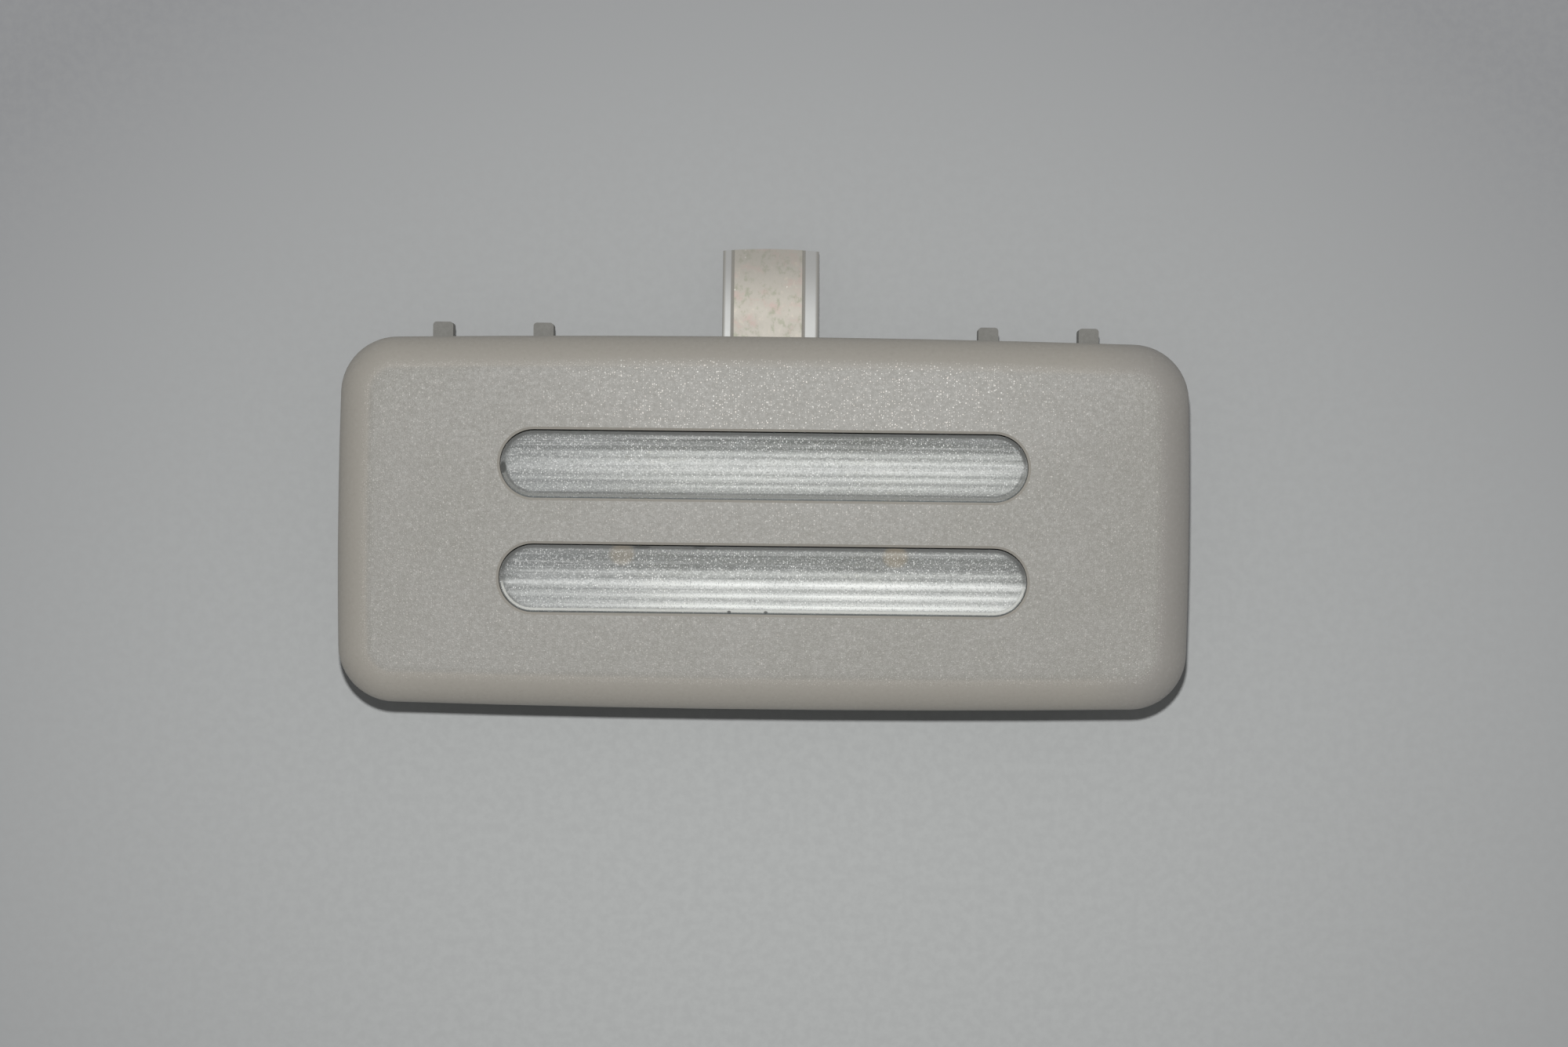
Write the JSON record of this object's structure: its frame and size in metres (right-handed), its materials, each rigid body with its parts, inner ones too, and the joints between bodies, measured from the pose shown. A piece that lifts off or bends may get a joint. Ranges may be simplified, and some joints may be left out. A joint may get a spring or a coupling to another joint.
{
  "type": "car interior light",
  "caption": "Long rounded interior lamp with clear fluted light bars in a grained bezel, lugs and a sheet-metal retaining spring along one edge, connector behind.",
  "frame": {"origin": "centre of the bezel's rear rim plane, which seats on the headliner", "axes": "+X along the long side, +Y towards the lugs and the spring, +Z out of the lit face"},
  "size_m": [0.105, 0.0574, 0.0195],
  "materials": {
    "bezel": "fine-grained moulding, warm grey beige",
    "lens": "clear moulding with fluted back",
    "reflector": "bright drawn sheet",
    "housing": "dark moulding, satin",
    "bulb_glass": "clear blown glass",
    "bulb_metal": "bright turned caps",
    "bulb_wire": "drawn wire",
    "contact": "stamped strip",
    "spring": "mottled zinc-coated sheet",
    "fastener": "zinc plated"
  },
  "bodies": {
    "root": {"bezel": "bezel", "lens": "lens", "reflector": "reflector", "housing": "housing", "bulb_glass": "bulb_glass", "bulb_cap_left": "bulb_metal", "bulb_cap_right": "bulb_metal", "bulb_filament": "bulb_wire", "bulb_lead_left": "bulb_wire", "bulb_lead_right": "bulb_wire", "contact_left": "contact", "contact_right": "contact", "retaining_spring": "spring", "spring_rivet_left": "fastener", "spring_rivet_right": "fastener", "screw_upper_left": "fastener", "screw_upper_right": "fastener", "screw_lower_left": "fastener", "screw_lower_right": "fastener"}
  },
  "joints": []
}
